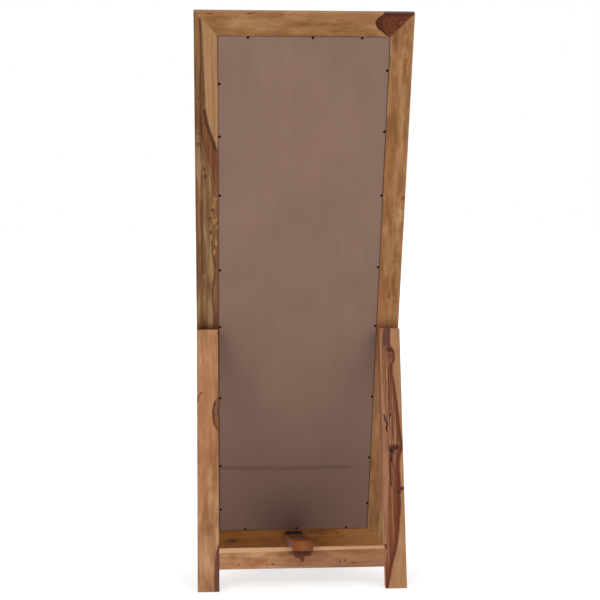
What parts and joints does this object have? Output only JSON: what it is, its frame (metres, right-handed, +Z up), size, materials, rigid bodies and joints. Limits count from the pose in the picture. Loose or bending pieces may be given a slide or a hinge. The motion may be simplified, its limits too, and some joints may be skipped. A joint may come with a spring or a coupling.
{
  "type": "cheval floor mirror",
  "caption": "Tall wooden floor mirror that leans back against a hinged two-post stand, held open by a stay bar hooked over the stand's crossbar.",
  "frame": {"origin": "on the floor, under the middle of the whole mirror's bounding box", "axes": "+Z up, -Y out of the mirror glass towards the person who looks into it, +X to that person's right"},
  "size_m": [0.6, 0.5562, 1.6254],
  "materials": {
    "frame_wood": "satin oiled hardwood",
    "stand_wood": "satin oiled hardwood",
    "stay_wood": "satin oiled hardwood, reddish",
    "dowel_wood": "plain beech",
    "mirror_glass": "silvered glass",
    "backing": "soft grey felt board",
    "hardboard": "matte brown hardboard",
    "nail_black": "black oxide",
    "hinge_black": "black lacquer",
    "pin_steel": "plain steel",
    "screw_steel": "plain steel"
  },
  "bodies": {
    "mirror": {"top_rail": "frame_wood", "bottom_rail": "frame_wood", "left_stile": "frame_wood", "right_stile": "frame_wood", "corner_dowels": "dowel_wood", "mirror_glass": "mirror_glass", "glass_backing": "backing", "back_panel": "hardboard", "panel_nails": "nail_black", "left_hinge_frame_leaf": "hinge_black", "right_hinge_frame_leaf": "hinge_black", "left_hinge_pin": "pin_steel", "right_hinge_pin": "pin_steel", "frame_hinge_screws": "screw_steel", "stay_hinge_rail_leaf": "hinge_black", "stay_hinge_pin": "pin_steel", "stay_rail_screws": "screw_steel"},
    "stand": {"left_post": "stand_wood", "right_post": "stand_wood", "crossbar": "stand_wood", "crossbar_dowels": "dowel_wood", "left_hinge_post_leaf": "hinge_black", "right_hinge_post_leaf": "hinge_black", "post_hinge_screws": "screw_steel"},
    "stay": {"stay_bar": "stay_wood", "stay_hinge_bar_leaf": "hinge_black", "stay_bar_screws": "screw_steel"}
  },
  "joints": [
    {"name": "stand_fold", "type": "hinge", "parent": "mirror", "child": "stand", "pos_m": [0, -0.01112, 0.71171], "axis": [-1, 0, 0], "range_deg": [0, 29]},
    {"name": "stay_lift", "type": "hinge", "parent": "mirror", "child": "stay", "pos_m": [0, -0.22488, 0.05383], "axis": [1, 0, 0], "range_deg": [0, 58]}
  ],
  "couplings": [
    {"joint": "stay_lift", "follows": "stand_fold", "ratio": 2}
  ]
}
